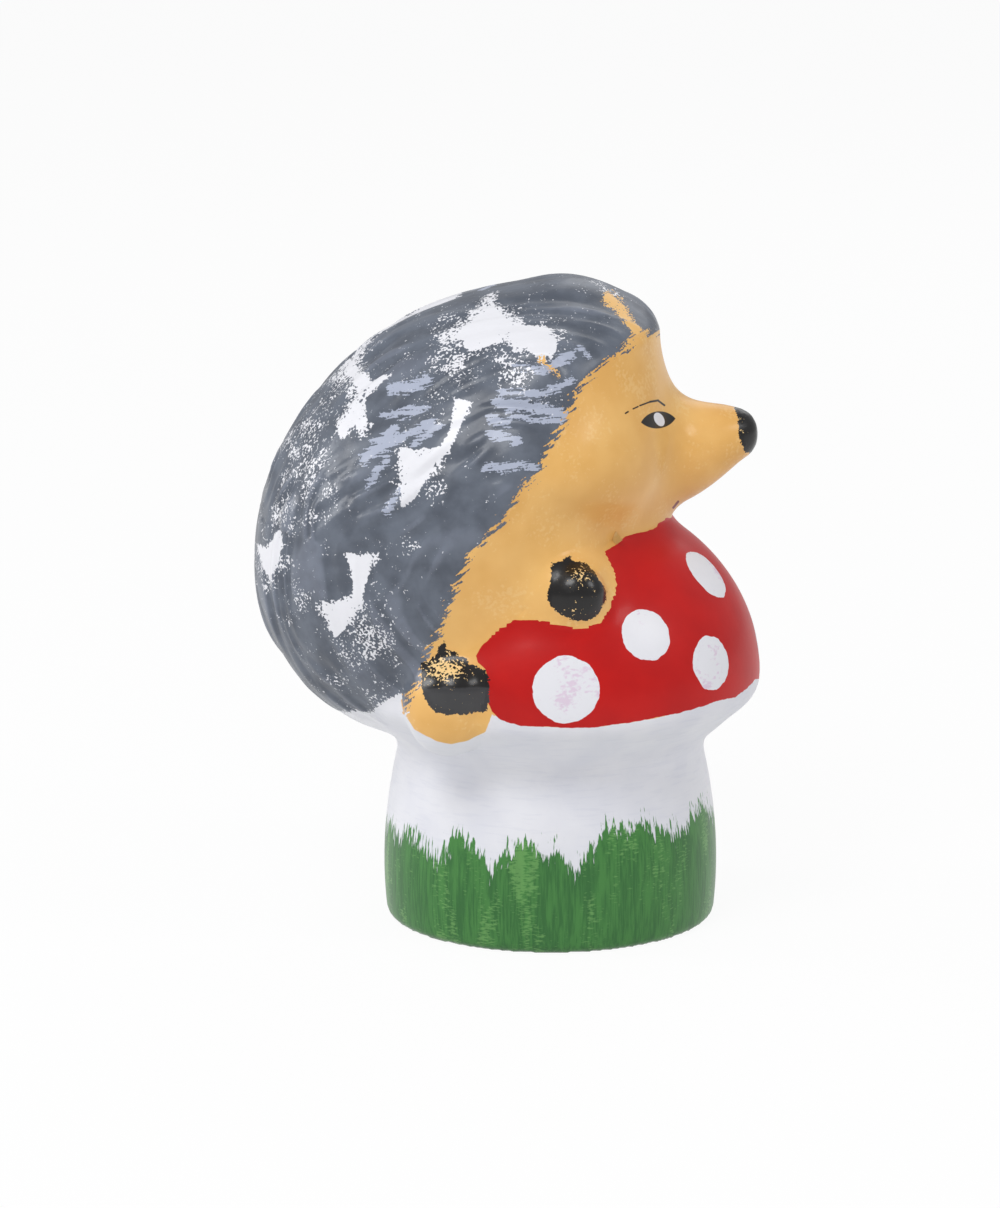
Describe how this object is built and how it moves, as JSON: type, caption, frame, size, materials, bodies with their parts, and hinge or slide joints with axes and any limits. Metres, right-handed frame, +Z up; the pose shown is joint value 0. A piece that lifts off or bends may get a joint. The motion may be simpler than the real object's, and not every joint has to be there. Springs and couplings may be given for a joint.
{
  "type": "hedgehog figurine",
  "caption": "Hollow ceramic ornament: a hedgehog with a rounded quill coat and a pointed snout clasps the cap of a toadstool, which stands on its thick stem.",
  "frame": {"origin": "middle of the foot, on the plane it stands on", "axes": "+X the way the hedgehog faces, +Y to the hedgehog's left, +Z up"},
  "size_m": [0.1555, 0.131, 0.1999],
  "materials": {
    "stem_white": "gloss",
    "cap_red": "gloss",
    "quill_grey": "gloss",
    "ochre_skin": "gloss",
    "black_tips": "gloss"
  },
  "bodies": {
    "root": {"mushroom_stem": "stem_white", "mushroom_cap": "cap_red", "quill_coat": "quill_grey", "head": "ochre_skin", "nose": "black_tips", "flank_left": "ochre_skin", "flank_right": "ochre_skin", "foreleg_left": "ochre_skin", "foreleg_right": "ochre_skin", "forepaw_left": "black_tips", "forepaw_right": "black_tips", "hind_leg_left": "ochre_skin", "hind_leg_right": "ochre_skin", "hind_foot_left": "black_tips", "hind_foot_right": "black_tips"}
  },
  "joints": []
}
